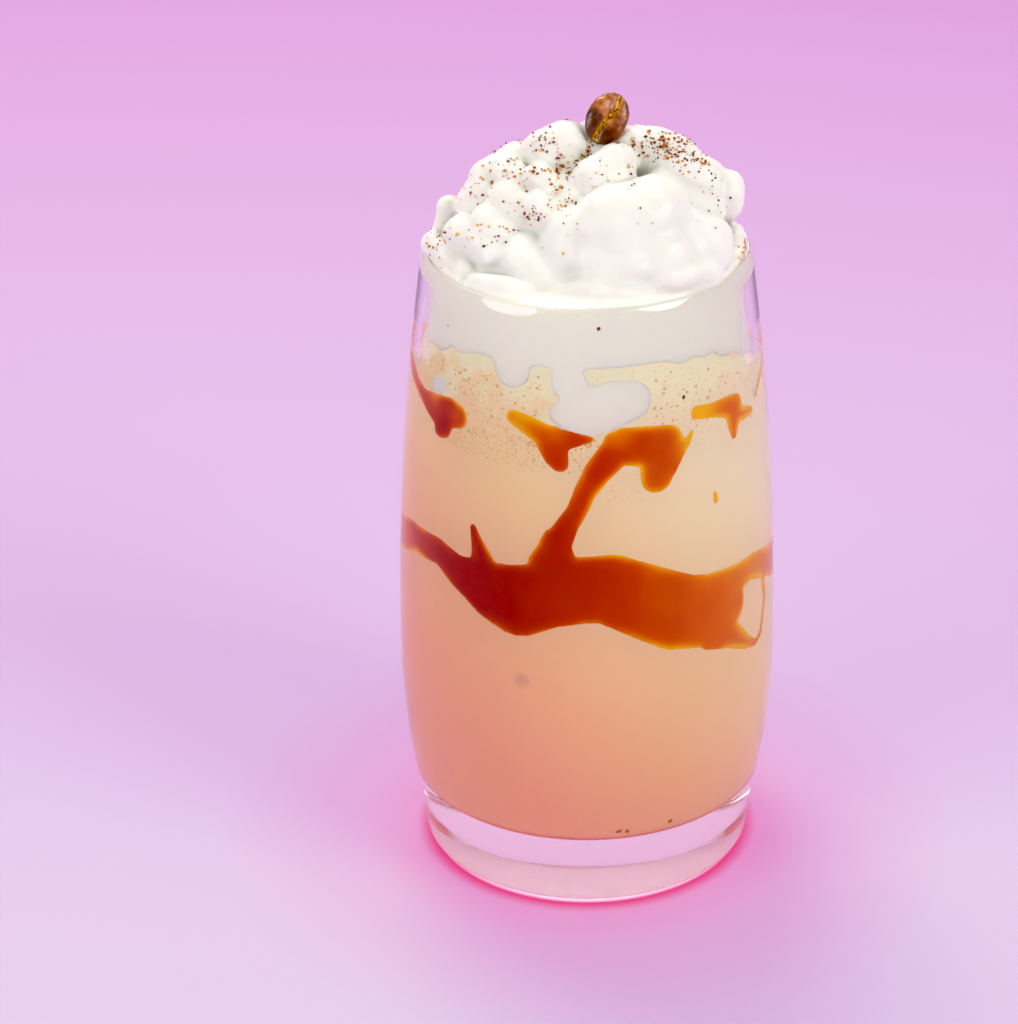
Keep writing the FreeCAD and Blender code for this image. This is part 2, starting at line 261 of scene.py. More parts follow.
def makeSky():
    # warm white above, and a pink backdrop like the floor behind
    scene.world = world = bpy.data.worlds.new("studio")
    world.use_nodes = True
    axes = addNode(world, "SeparateXYZ", {"Vector": addNode(world, "TexCoord").outputs["Generated"]}).outputs
    level = mapRange(world, axes["Z"], *studioMake["skyFade"])
    above = addRamp(world, level, [(0, studioMake["skyLow"]), (1, studioMake["skyTop"])])
    back = mapRange(world, axes["Y"], *studioMake["backdropFade"])
    below = mapRange(world, axes["Z"], *studioMake["backdropTop"])
    colour = mixColour(world, doMath(world, "MULTIPLY", back, below), above, studioMake["backdrop"])
    plug(world, colour, world.node_tree.nodes["Background"], "Color")


makeFloor()
for name in ("key", "rim", "fill"):
    addLight(name + "Light", studioMake[name + "Place"], studioMake[name + "Size"], studioMake[name + "Power"])
makeSky()
print("camera, floor and lights set")

# glass tumbler

glassMake = {
    "wall": 2.0 * mm, "rimWall": 1.4 * mm, "lipRound": 0.6 * mm, "rimInset": 6.3 * mm,
    "bellyHeight": 44.5 * mm, "shoulderHeight": 8.8 * mm, "shoulderInset": 3.8 * mm,
    "footInset": 4.5 * mm, "footRound": 1.8 * mm, "footRing": 3.6 * mm, "puntDepth": 1.2 * mm,
    "cornerRound": 3.0 * mm, "segments": 192,
}
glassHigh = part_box("glass_tumbler")[1]
belly, glassTop = glassHigh.x, glassHigh.z
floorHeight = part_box("milkshake")[0].z
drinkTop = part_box("milkshake")[1].z
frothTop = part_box("froth")[1].z


def bowRadius(height, widest, inset, reach, thinner=0):
    # radius of a wall that stands upright at the belly and bends in by inset over reach
    bow = (reach ** 2 + inset ** 2) / (2 * inset)
    run = height - glassMake["bellyHeight"]
    return widest - bow + math.sqrt((bow - thinner) ** 2 - run ** 2)


def outerRadius(height):
    if height > glassMake["bellyHeight"]:
        return bowRadius(height, belly, glassMake["rimInset"], glassTop - glassMake["bellyHeight"])
    return bowRadius(height, belly, glassMake["shoulderInset"],
                     glassMake["bellyHeight"] - glassMake["shoulderHeight"])


def innerRadius(height):
    if height > glassMake["bellyHeight"]:
        inset = glassMake["rimInset"] + glassMake["rimWall"] - glassMake["wall"]
        reach = glassTop - glassMake["bellyHeight"]
        return bowRadius(min(height, glassTop), belly - glassMake["wall"], inset, reach)
    return bowRadius(height, belly, glassMake["shoulderInset"],
                     glassMake["bellyHeight"] - glassMake["shoulderHeight"], glassMake["wall"])


def onWall(azimuth, height, proud=0.0):
    # a place on the inside of the wall; azimuth in degrees, 0 at the front and positive to the right
    radius = innerRadius(height) + proud
    angle = math.radians(azimuth)
    return Vector((radius * math.sin(angle), -radius * math.cos(angle), height))


def glassOutline():
    make = glassMake
    lip, foot, corner = make["lipRound"], make["footRound"], make["cornerRound"]
    footRadius = belly - make["footInset"]
    ring = footRadius - make["footRing"]
    points = [(0, make["puntDepth"])]
    points += [(ring * part, make["puntDepth"] * (1 - part ** 2)) for part in spread(0.1, 1, 12)]
    points += arc((footRadius - foot, foot), foot, -90, 0, 8)
    points += [(footRadius + (outerRadius(make["shoulderHeight"]) - footRadius)
                * (height - foot) / (make["shoulderHeight"] - foot), height)
               for height in spread(foot + 1 * mm, make["shoulderHeight"] - 0.5 * mm, 4)]
    points += [(outerRadius(height), height) for height in spread(make["shoulderHeight"], glassTop - lip, 56)]
    rim = outerRadius(glassTop)
    points += arc((rim - lip, glassTop - lip), lip, 12, 90, 5)
    points += arc((rim - make["rimWall"] + lip, glassTop - lip), lip, 90, 172, 5)
    points += [(innerRadius(height), height) for height in spread(glassTop - lip, floorHeight + corner, 56)[1:]]
    side = innerRadius(floorHeight + corner)
    points += arc((side - corner, floorHeight + corner), corner, -8, -90, 7)
    return points + [(side * part, floorHeight) for part in (0.6, 0.3, 0)]


def makeGlass():
    material, shader = newMaterial("clearGlass", 0.0, 1.5)
    shader.inputs["Base Color"].default_value = (1, 1, 1, 1)
    shader.inputs["Transmission Weight"].default_value = 1
    waves = addNoise(material, objectPlace(material), 35, 1)
    addBump(material, shader, waves, 0.06, 0.2 * mm)
    mesh = turned(glassOutline(), glassMake["segments"])
    addPiece("glass", mesh, material, "glass_tumbler")


makeGlass()

# milkshake and froth

drinkMake = {
    # lean tilts the colour ramp from left to right: painted shade, darker on the left
    "proud": 0.06 * mm, "segments": 160, "drift": 0.12, "lean": (-0.4, 0.3),
    "colours": [(0.0, (0.985, 0.485, 0.33)), (0.3, (0.99, 0.59, 0.345)), (0.65, (0.99, 0.765, 0.44)),
                (1.0, (0.99, 0.87, 0.61))],
    # the underside colour is painted light: pale so the drink's underside looks lit from below
    "underside": (0.99, 0.86, 0.80), "bottomLine": (0.80, 0.16, 0.14),
    "smudge": (0.80, 0.45, 0.32), "smudgeAzimuth": -20, "smudgeHeight": 53.5 * mm, "smudgeReach": 2.0 * mm,
}
frothMake = {"patch": (0.985, 0.925, 0.64), "spot": (0.93, 0.70, 0.33), "clearHeight": 4 * mm}
gapMake = {"depth": 1.3 * mm, "sides": (64, 128), "heights": (112 * mm, 129 * mm)}


def drinkMaterial(name, froth):
    # peach that is deeper towards the bottom, with foam spots in the froth
    make = drinkMake
    material, shader = newMaterial(name, 0.35)
    place = objectPlace(material)
    axes = addNode(material, "SeparateXYZ", {"Vector": place}).outputs
    height = axes["Z"]
    level = mapRange(material, height, floorHeight, frothTop)
    mixed = doMath(material, "MULTIPLY_ADD", addNoise(material, place, 28, 2), make["drift"], level)
    # painted shade: the drink and froth are deeper and darker on the left, paler on the right
    side = mapRange(material, axes["X"], -belly, belly, *make["lean"])
    colour = addRamp(material, doMath(material, "ADD", mixed, side), make["colours"])
    if froth:
        colour = frothSpots(material, place, height, colour)
    # painted light: the drink's underside on the glass floor is made pale so it looks lit from below
    under = mapRange(material, height, floorHeight - 0.05 * mm, floorHeight + 0.3 * mm, 1, 0)
    colour = mixColour(material, under, colour, make["underside"])
    low = mapRange(material, height, floorHeight + 0.6 * mm, floorHeight + 1.3 * mm, 0.6, 0)
    over = doMath(material, "GREATER_THAN", height, floorHeight + 0.25 * mm)
    colour = mixColour(material, doMath(material, "MULTIPLY", low, over), colour, make["bottomLine"])
    middle = onWall(make["smudgeAzimuth"], make["smudgeHeight"])
    near = addNode(material, "VectorMath", {0: place, 1: middle}, operation="DISTANCE").outputs["Value"]
    smudge = mapRange(material, near, 0.4 * make["smudgeReach"], make["smudgeReach"], 0.8, 0)
    plug(material, mixColour(material, smudge, colour, make["smudge"]), shader, "Base Color")
    shader.inputs["Specular IOR Level"].default_value = 0
    shader.inputs["Subsurface Weight"].default_value = 0.25
    shader.inputs["Subsurface Radius"].default_value = (1.0, 0.55, 0.3)
    shader.inputs["Subsurface Scale"].default_value = 2 * mm
    grain = addNoise(material, place, 900, 2)
    addBump(material, shader, grain, 0.08, 0.1 * mm)
    return material


def frothSpots(material, place, height, colour):
    # paler patches of cream and small yellowish bubbles
    rise = mapRange(material, height, drinkTop + frothMake["clearHeight"], frothTop, -0.25, 0.25)
    lift = doMath(material, "ADD", addNoise(material, place, 160, 3), rise)
    pale = mixColour(material, mapRange(material, lift, 0.43, 0.57), colour, frothMake["patch"])
    cells = addNode(material, "TexVoronoi", {"Vector": place, "Scale": 900}).outputs["Distance"]
    return mixColour(material, mapRange(material, cells, 0.16, 0.26, 0.55, 0), pale, frothMake["spot"])


def airGap(place):
    # near the rim, the froth and cream stand a little off the wall at both sides
    (front, back), (low, high) = gapMake["sides"], gapMake["heights"]
    side = abs(math.degrees(math.atan2(place.x, -place.y)))
    across = min(1, max(0, (side - front) / 8)) * min(1, max(0, (back - side) / 10))
    up = min(1, max(0, (place.z - low) / (4 * mm)), max(0, (high - place.z) / (3 * mm)))
    return gapMake["depth"] * across * up * (3 - 2 * up) * up


def fillOutline(bottom, top, flatBottom):
    # the inside of the glass between two heights, just into the wall
    proud, corner = drinkMake["proud"], glassMake["cornerRound"]
    if flatBottom:
        points = [(0, bottom)] + [(innerRadius(bottom) * part, bottom) for part in (0.3, 0.6)]
        points += [(innerRadius(height) + proud, height) for height in spread(bottom, top, 24)]
    else:
        side = innerRadius(bottom + corner)
        points = [(side * part, bottom - proud) for part in (0, 0.3, 0.6)]
        points += arc((side - corner, bottom + corner), corner + proud, -90, -8, 8)
        points += [(innerRadius(height) + proud, height) for height in spread(bottom + corner, top, 60)[1:]]
    return points + [(innerRadius(top) * part, top) for part in (0.6, 0.3, 0)]


def makeDrink():
    mesh = turned(fillOutline(floorHeight, drinkTop, False), drinkMake["segments"])
    addPiece("drink", mesh, drinkMaterial("milkshakeDrink", False), "milkshake")
    mesh = turned(fillOutline(drinkTop, frothTop, True), drinkMake["segments"])
    for vert in mesh.verts:
        if vert.co.xy.length > innerRadius(vert.co.z):
            vert.co.xy -= vert.co.xy.normalized() * airGap(vert.co)
    addPiece("frothLayer", mesh, drinkMaterial("frothFoam", True), "froth")


makeDrink()

# whipped cream

creamMake = {
    "voxel": 0.50 * mm, "soften": 15, "proud": 0.10 * mm, "plugBottom": 120.4, "plugTop": 132.1,
    "ripple": 0.35 * mm, "grain": 0.07 * mm, "sway": 1.1 * mm, "reach": 0.8 * mm, "rimFade": 0.5 * mm, "seed": 7,
    # the inside colour is painted light: cream behind the glass is made paler than the cream above the rim
    "airy": [(0.3, (0.665, 0.665, 0.59)), (0.7, (0.71, 0.715, 0.655))], "inside": (0.985, 0.992, 0.83),
}
# folds of cream in mm: where each starts and ends, and its radius at both ends
creamFolds = [
    ((-27.3, -2, 137.5), (-27, -2, 141), 2.8, 2.6),
    ((-22, -6, 142.5), (-20, -6, 145.5), 4.0, 3.8),
    ((-19, -3, 147), (-14, -1, 149.5), 4.6, 4.4),
    ((-8, -2, 152.6), (-4, -1, 154.2), 4.6, 4.4),
    ((1, 1, 152.5), (2, 1.5, 154), 5.0, 4.5),
    ((3, -9, 150), (5, -8, 151.5), 5.4, 5.0),
    ((9, 0, 152.5), (17, -2, 151), 5.2, 5.2),
    ((18, -2, 149.5), (23, -2, 146), 5.2, 5.0),
    ((27, -1, 142.2), (27.2, -1, 144.4), 4.3, 4.2),
    ((29.2, -2, 132), (29, -1, 135), 2.0, 2.6),
    ((-4, -18, 138.5), (-2, -17, 141.5), 6.6, 6.4),
    ((5, -17, 142.5), (12, -15, 144.5), 8.8, 8.4),
    ((17, -14, 139), (22, -12, 137), 8.0, 7.0),
    ((15, -22, 135), (22, -18, 134.5), 4.6, 4.6),
    ((-23.5, -10.5, 139), (-18, -16, 137.5), 4.2, 3.8),
    ((-29.5, -5, 134.5), (-24, -16, 133.5), 2.6, 2.4),
    ((-21.5, -20.5, 133), (-13, -25.5, 132.2), 2.0, 2.8),
    ((-12.5, -17.5, 137.5), (-9.5, -21.5, 135), 4.6, 4.0),
    ((-7, -25, 132.6), (2, -26.4, 133.2), 2.0, 3.2),
    ((2, -26.4, 133.2), (14, -25, 132.4), 3.2, 1.8),
    ((2, -20, 138), (14, -19.5, 138.5), 6.6, 6.8),
    ((-15, -6, 149.3), (-13.5, -7, 148.5), 3.4, 3.2),
    ((-9, -8, 149.5), (-7.5, -9, 148.6), 3.7, 3.6),
    ((-15.5, -10, 145.6), (-13, -12, 144), 3.9, 3.8),
    ((-9, -13, 145), (-6, -14, 143.5), 4.4, 4.2),
    ((-19, -12, 142.5), (-17, -14, 141), 3.8, 3.6),
    ((-6, -4, 148.8), (-2, -4.5, 149.4), 3.6, 3.6),
    ((-4.2, -8.5, 148), (-3, -11.5, 146), 3.4, 3.6),
    ((15, -7, 146.5), (22.5, -7, 142.5), 5.0, 4.6),
    ((-23.5, 4, 137), (-20.5, 6, 140.5), 4.6, 4.6),
]
# rings of folds at the back: how many, how far out, how high and how large, in mm
backRings = [(6, 21.5, 136.5, 8.2), (5, 14, 142, 7.6), (3, 7, 147, 6.8)]


def addLump(mesh, start, end, startRadius, endRadius):
    # a row of overlapping balls from start to end
    start, end = Vector(start) * mm, Vector(end) * mm
    count = max(2, round((end - start).length / (1.6 * mm)))
    for part in spread(0, 1, count):
        radius = (startRadius + (endRadius - startRadius) * part) * mm
        place = Matrix.Translation(start.lerp(end, part))
        bmesh.ops.create_icosphere(mesh, subdivisions=3, radius=radius, matrix=place)


def addBackFolds(mesh, rng):
    # the side away from the front is heaped in rings of folds
    for count, reach, height, size in backRings:
        for step in range(count):
            azimuth = math.radians(95 + 170 * (step + 0.5 * rng.random()) / count)
            away = Vector((math.sin(azimuth), -math.cos(azimuth), 0))
            across = Vector((away.y, -away.x, 0))
            drop = 2.6 * max(0, -away.x)
            middle = away * (reach + rng.uniform(-1, 1)) + Vector((0, 0, height - drop + rng.uniform(-1, 1)))
            radius = size * rng.uniform(0.72, 1.0)
            lean = (across + Vector((0, 0, rng.uniform(-0.5, 0.5)))) * rng.uniform(1.5, 3.5)
            addLump(mesh, middle - lean, middle + lean, radius, radius * rng.uniform(0.75, 1))


# lobes that hang into the froth: azimuth, height and radius in mm
creamDrips = [
    (-25.5, 118.9, 3.9), (-6, 117.5, 3.6), (-3, 114.2, 3.4), (-9, 111.2, 2.3), (-4.5, 109.8, 3.0), (0, 108.8, 2.6),
    (8, 113, 5.3), (14, 113.6, 4.5), (4.5, 110.6, 3.6), (33, 122.6, 3.8), (43, 122.8, 4.2), (54, 121.2, 4.4),
    (65, 119.4, 4.8), (77, 117.5, 5.2), (-84, 119, 4.6), (-70, 120.5, 4.4), (-58, 121.5, 4.2), (-46, 123, 4.2),
    (-57.5, 110.4, 2.1), (-54, 111.6, 1.5), (69, 106.4, 1.2), (94, 118.5, 4.8), (108, 121.5, 4.6),
    (123, 120.5, 5.2), (141, 117, 4.8), (144, 121, 5.4), (163, 121, 5), (180, 119.5, 5.2), (-163, 116, 3.8),
    (-160, 120, 5), (-141, 121.5, 5), (-124, 119.5, 5), (-108, 118, 4.6), (-96, 120, 4.6),
]


def creamLump():
    make, rng = creamMake, random.Random(creamMake["seed"])
    bottom, top = make["plugBottom"] * mm, make["plugTop"] * mm
    outline = [(0, bottom)] + [(innerRadius(height), height) for height in spread(bottom, top, 12)]
    outline += [(28 * mm, 133 * mm), (20 * mm, 141 * mm), (10 * mm, 148 * mm), (0, 151 * mm)]
    mesh = turned(outline, 96)
    for start, end, startRadius, endRadius in creamFolds:
        addLump(mesh, start, end, startRadius, endRadius)
    addBackFolds(mesh, rng)
    for azimuth, height, radius in creamDrips:
        place = Matrix.Translation(onWall(azimuth, height * mm, -0.45 * radius * mm))
        bmesh.ops.create_icosphere(mesh, subdivisions=3, radius=radius * mm, matrix=place)
    return mesh


def pressToWall(mesh):
    # cream that nears the wall lies flat against it and just into the glass
    reach = creamMake["reach"]
    for vert in mesh.verts:
        below = glassTop - glassMake["lipRound"] - vert.co.z
        if below > 0:
            limit = innerRadius(vert.co.z) + creamMake["proud"] - airGap(vert.co)
            away = limit - vert.co.xy.length
            if away < 4 * reach:
                pull = reach * min(1, below / creamMake["rimFade"]) * (1 - away / (4 * reach))
                vert.co.xy = vert.co.xy.normalized() * (limit - max(0, away - pull))


def creamMaterial():
    material, shader = newMaterial("whippedCream", 0.42)
    place = objectPlace(material)
    airy = addRamp(material, addNoise(material, place, 70, 3), creamMake["airy"])
    height = addNode(material, "SeparateXYZ", {"Vector": place}).outputs["Z"]
    # painted light: below the rim, behind the glass, the cream is mixed to a paler, warmer colour than above it
    inside = mapRange(material, height, glassTop - 1.4 * mm, glassTop + 1.4 * mm, 1, 0)
    plug(material, mixColour(material, inside, airy, creamMake["inside"]), shader, "Base Color")
    shader.inputs["Subsurface Weight"].default_value = 0.6
    shader.inputs["Subsurface Radius"].default_value = (1.0, 0.85, 0.65)
    shader.inputs["Subsurface Scale"].default_value = 2.5 * mm
    shader.inputs["Specular IOR Level"].default_value = 0.35
    addBump(material, shader, addNoise(material, place, 650, 4), 0.15, 0.15 * mm)
    return material


def makeCream():
    make = creamMake
    mesh = creamLump()
    noise.seed_set(make["seed"])
    for vert in mesh.verts:
        if vert.co.z > (make["plugTop"] + 1) * mm:
            vert.co += noise.noise_vector(vert.co * 110) * make["sway"]
    melt(mesh, make["voxel"], make["soften"])
    mesh.normal_update()
    for vert in mesh.verts:
        lift = noise.noise(vert.co * 260) * make["ripple"] + noise.noise(vert.co * 900) * make["grain"]
        inward = (innerRadius(vert.co.z) - vert.co.xy.length) / (3 * mm)
        vert.co += vert.normal * lift * (1 if vert.co.z > glassTop else min(1, max(0, inward - 0.4)))
    pressToWall(mesh)
    bvh = BVHTree.FromBMesh(mesh)
    addPiece("cream", mesh, creamMaterial(), "whipped_cream")
    return bvh


creamSkin = makeCream()

# caramel sauce on the inside of the wall

# wallScale is how many mm across one degree of the wall is laid out as
caramelMake = {
    "thickness": 1.5, "voxel": 0.3 * mm, "soften": 6, "proud": 0.14 * mm, "wallScale": 0.6,
    # shade maps left to right across the glass: painted shade, darker sauce on the left
    "edgeStart": 0.35 * mm, "edgeFade": 0.6 * mm, "shade": (-22 * mm, 32 * mm, -0.32, 0.24),
    "colours": [(0.0, (0.40, 0.006, 0.0)), (0.28, (0.60, 0.055, 0.0)), (0.5, (0.80, 0.17, 0.0)),
                (0.95, (0.95, 0.50, 0.01))],
}
# runs of sauce: azimuth in degrees, height in mm and half width in mm
caramelRuns = [
    [(-92, 70, 4.6), (-67, 75, 3.4), (-52, 76, 3.1), (-43, 73.6, 3.9), (-36, 72.8, 5.2), (-29, 71.8, 6.8),
     (-22, 71, 7.8), (-13, 73, 7.2), (-2, 74.6, 7.4), (7, 74.8, 7.6), (16, 72, 7.8), (30, 67.2, 8.2),
     (42, 65.4, 8.0), (46, 64.6, 6.6)],
    [(42, 69.5, 4.4), (52, 69.8, 3.4), (62, 70, 3.0), (76, 67, 3.6), (88, 64.5, 4.8), (104, 62, 5.0),
     (122, 60, 4.6), (138, 57, 3.4), (150, 54, 1.8), (158, 51, 0.7)],
    [(42, 60.5, 4.0), (50, 57.8, 3.0), (58, 53.8, 1.7), (64, 51.8, 0.8), (68, 52.8, 0.8), (71.5, 60, 1.0),
     (69.5, 66, 1.0), (71, 69, 1.4)],
    [(-33, 76, 3.4), (-34.5, 79.5, 2.2), (-36.5, 82.6, 1.3), (-37.5, 84.4, 0.9)],
    [(-10.5, 79.5, 4.8), (-9.5, 84, 3.0), (-6, 88.5, 2.3), (-3, 91.5, 2.1), (-0.5, 95.5, 2.3), (3.5, 99.6, 2.9),
     (9, 103.5, 3.4)],
    [(-13, 84.4, 1.2), (-11, 86, 1.6)],
    [(8, 106, 1.8), (12, 104.6, 4.0), (19, 104, 4.4), (26, 104, 3.9), (28, 105.6, 1.8)],
    [(24.5, 102, 4.0), (23, 98.8, 3.8), (22.5, 97.4, 3.4)],
    [(28, 97.6, 0.7), (31, 100.4, 0.6), (34, 103.4, 0.9), (35.5, 105, 0.6)],
    [(-94, 113, 1.6), (-82, 110, 2.2), (-72, 107.4, 1.6), (-65, 106.2, 1.8), (-57, 105.6, 3.2), (-49.5, 106.4, 3.3),
     (-46, 106.4, 2.7)],
    [(-53, 105.2, 3.6), (-53, 103, 2.8), (-54.5, 101.8, 1.8)],
    [(-24, 109.6, 1.7), (-19, 108.4, 2.2), (-13, 106.6, 2.6), (-6, 106.2, 2.1), (1, 106.4, 0.9)],
    [(-11, 105.6, 3.4), (-9.8, 102.8, 2.6), (-8.6, 101.2, 1.9)],
    [(38, 108.6, 1.6), (44, 108, 1.6), (50, 107.4, 2.2), (55.5, 106.4, 2.8)],
    [(55, 105.6, 2.8), (54.6, 103, 2.0), (54.4, 100.6, 1.0)],
    [(56, 104.4, 2.0), (64, 103.4, 1.2), (66, 103.2, 0.9)],
    [(90, 112.5, 1.4), (81, 109, 1.3), (74, 106.8, 0.9), (70, 105, 0.6)],
    [(44, 90.6, 0.6), (44.3, 88.9, 0.8)],
    [(-92, 70, 4.6), (-108, 67, 4.9), (-126, 70, 5.6), (-142, 74, 4.4), (-155, 78, 2.6), (-163, 82, 0.8)],
    [(-124, 66, 4.0), (-123, 58, 2.4), (-122, 52, 1.8), (-121.5, 48, 1.0)],
    [(126, 107, 2.4), (128, 102, 1.6), (129, 98, 0.8)],
    [(170, 108, 1.4), (178, 105.5, 2.6), (181, 101, 1.6)],
]


def addRun(mesh, stations):
    # discs along a run, laid out flat: across, up and depth
    stretch = caramelMake["wallScale"]
    for (azimuth, height, size), (nextAzimuth, nextHeight, nextSize) in zip(stations, stations[1:]):
        reach = math.hypot((nextAzimuth - azimuth) * stretch, nextHeight - height)
        count = max(2, round(reach / max(0.35, 0.25 * min(size, nextSize))))
        for part in spread(0, 1, count):
            across = (azimuth + (nextAzimuth - azimuth) * part) * stretch * mm
            up = (height + (nextHeight - height) * part) * mm
            radius = (size + (nextSize - size) * part) * mm
            bmesh.ops.create_cone(mesh, cap_ends=True, segments=20, radius1=radius, radius2=radius,
                                  depth=caramelMake["thickness"] * mm, matrix=Matrix.Translation((across, up, 0)))


# where the sauce has run thin: azimuth, height in mm, reach in mm and how thin
thinPlaces = [(-22, 109.5, 4, 0.6), (-10, 107.5, 3.6, 0.3), (40, 109, 4, 0.5), (-46, 106.5, 2.6, 0.35),
              (-58, 107.5, 3, 0.3), (10, 107, 3, 0.25), (34, 103, 3, 0.3), (44, 89.5, 3, 0.4), (80, 107, 6, 0.5),
              (60, 70, 9, 0.12), (68, 58, 6, 0.2), (-82, 72, 13, 0.6), (-82, 110, 11, 0.5)]


def thinness(place):
    total = 0
    for azimuth, height, reach, amount in thinPlaces:
        away = math.hypot(place.x / mm - azimuth * caramelMake["wallScale"], place.y / mm - height)
        total += amount * math.exp(-(away / reach) ** 2)
    return total


def caramelMaterial():
    # amber where it is thin at an edge, deep orange to red-brown where it is thick
    material, shader = newMaterial("caramelSauce", 0.2, 1.48)
    place = objectPlace(material)
    thin = addNode(material, "Attribute", attribute_name="edge").outputs["Fac"]
    swirl = addNoise(material, place, 120, 4)
    # painted shade: the sauce is shifted darker towards the left and lighter towards the right
    side = addNode(material, "SeparateXYZ", {"Vector": place}).outputs["X"]
    mixed = doMath(material, "MULTIPLY_ADD", swirl, 0.25, mapRange(material, side, *caramelMake["shade"]))
    colour = addRamp(material, doMath(material, "ADD", mixed, thin), caramelMake["colours"])
    plug(material, colour, shader, "Base Color")
    shader.inputs["Specular IOR Level"].default_value = 0
    addBump(material, shader, swirl, 0.1, 0.2 * mm)
    return material


def makeCaramel():
    make = caramelMake
    mesh = bmesh.new()
    for stations in caramelRuns:
        addRun(mesh, stations)
    melt(mesh, make["voxel"], make["soften"])
    mesh.normal_update()
    sides = [vert.co.copy() for vert in mesh.verts if abs(vert.normal.z) < 0.5]
    nearest = KDTree(len(sides))
    for index, place in enumerate(sides):
        nearest.insert(place.xy.to_3d(), index)
    nearest.balance()
    layer = mesh.verts.layers.float.new("edge")
    for vert in mesh.verts:
        away = nearest.find(vert.co.xy.to_3d())[2]
        rim = max(0.1, 0.42 + 0.7 * noise.noise(vert.co * 140))
        fade = math.exp(-max(0, away - make["edgeStart"]) / make["edgeFade"])
        vert[layer] = 0.15 + rim * fade + thinness(vert.co)
    top = 0.5 * make["thickness"] * mm
    for vert in mesh.verts:
        azimuth = vert.co.x / mm / make["wallScale"]
        vert.co = onWall(azimuth, vert.co.y, make["proud"] + min(0, vert.co.z - top + 0.05 * mm))
    bmesh.ops.recalc_face_normals(mesh, faces=mesh.faces)
    addPiece("caramel", mesh, caramelMaterial())


makeCaramel()

# bubbles against the wall

bubbleMake = {
    "proud": 0.11 * mm, "sunk": 0.04 * mm, "depth": 0.08 * mm, "taper": 0.55, "seed": 11,
    # colours run from the painted dark rim to the painted highlight in the middle of each bubble
    "colours": [(0.1, (0.60, 0.28, 0.06)), (0.9, (0.90, 0.62, 0.24))],
}
# patches: azimuth and height ranges, how many, smallest and largest radius in mm
bubblePatches = [
    ((-58, 4), (99.5, 106), 560, 0.09, 0.26), ((-60, -14), (104, 117), 200, 0.15, 0.4),
    ((-30, 30), (108, 119), 60, 0.12, 0.36), ((20, 62), (104, 117), 120, 0.12, 0.38),
    ((4, 24), (92.5, 99), 34, 0.08, 0.20), ((-95, -56), (104, 116), 60, 0.12, 0.3),
    ((62, 300), (101, 117), 420, 0.10, 0.34), ((-14, -2), (66, 88), 14, 0.08, 0.16),
    ((-22, -17), (59, 64.5), 14, 0.08, 0.15),
]
# single ones: azimuth, height and radius in mm
largeBubbles = [(0.5, 105, 0.75), (2.4, 106, 0.4), (-1.8, 104.4, 0.3)]


def addBubble(mesh, layer, azimuth, height, radius):
    make = bubbleMake
    place = onWall(azimuth, height, make["proud"])
    out = Vector((place.x, place.y, 0)).normalized()
    turn = out.to_track_quat("Z", "Y").to_matrix().to_4x4()
    matrix = Matrix.Translation(place - out * make["sunk"]) @ turn
    made = bmesh.ops.create_cone(mesh, cap_ends=True, segments=10, radius1=radius, radius2=radius * make["taper"],
                                 depth=make["depth"], matrix=matrix)
    # painted highlight: the outward cap is marked to take the light colour, the ring below it the dark one
    for vert in made["verts"]:
        vert[layer] = 1.0 if (vert.co - place).dot(out) > -0.03 * mm else 0.0


def bubbleMaterial():
    material, shader = newMaterial("frothBubbles", 0.25)
    # painted highlight and shade: each bubble is lighter in its middle and darker at its rim
    middle = addNode(material, "Attribute", attribute_name="middle").outputs["Fac"]
    drift = addNoise(material, objectPlace(material), 300, 2)
    mixed = doMath(material, "MULTIPLY_ADD", drift, 0.3, middle)
    plug(material, addRamp(material, mixed, bubbleMake["colours"]), shader, "Base Color")
    return material


def makeBubbles():
    rng = random.Random(bubbleMake["seed"])
    mesh = bmesh.new()
    layer = mesh.verts.layers.float.new("middle")
    for azimuths, heights, count, smallest, largest in bubblePatches:
        for _ in range(count):
            radius = smallest + (largest - smallest) * rng.random() ** 2.5
            azimuth, height = rng.uniform(*azimuths), rng.uniform(*heights) * mm
            if creamSkin.find_nearest(onWall(azimuth, height), 0.6 * mm)[0] is None:
                addBubble(mesh, layer, azimuth, height, radius * mm)
    for azimuth, height, radius in largeBubbles:
        addBubble(mesh, layer, azimuth, height * mm, radius * mm)
    addPiece("bubbles", mesh, bubbleMaterial())


makeBubbles()

# coffee bean

beanMake = {
    "length": 10.4, "width": 8.1, "back": 3.1, "face": 1.9, "lean": 27, "recline": 20,
    "creaseBend": 0.7, "creaseWidth": 0.48, "creaseDepth": 1.0, "wrinkle": 0.13,
    "skin": [(0.32, (0.07, 0.012, 0.004)), (0.47, (0.22, 0.060, 0.014)), (0.60, (0.42, 0.16, 0.050)),
             (0.73, (0.60, 0.30, 0.13))],
    "chaff": [(0.38, (0.16, 0.05, 0.01)), (0.5, (0.62, 0.32, 0.06)), (0.65, (0.90, 0.58, 0.16))],
    # the tip colour is painted shade on the bean's lower end
    "tip": (0.035, 0.006, 0.003),
}


def creaseLine(along):
    # how far the crease bends aside, in mm, from -1 at the bottom to 1 at the top
    return beanMake["creaseBend"] * math.sin(along * 2.6)


def beanShape(point):
    # bends a unit ball, long in z, into a bean with an S-shaped crease in its front
    make = beanMake
    depth = make["face"] if point.y < 0 else make["back"]
    x, y, z = point.x * make["width"] / 2, point.y * depth, point.z * make["length"] / 2
    if point.y < 0:
        flat = 1 - 0.35 * (1 - min(1, (x / 3.2) ** 2))
        groove = math.exp(-((x - creaseLine(point.z)) / make["creaseWidth"]) ** 2) * min(1, 6 * (1 - abs(point.z)))
        y = y * flat + make["creaseDepth"] * groove * min(1, -point.y * 3)
    wave = noise.noise(Vector((x * 0.9, y * 0.9, z * 0.45)) * 1.3) + 0.5 * noise.noise(Vector((x, y, z * 0.5)) * 3.2)
    return Vector((x, y, z)) * (1 + wave * make["wrinkle"] * 0.25)


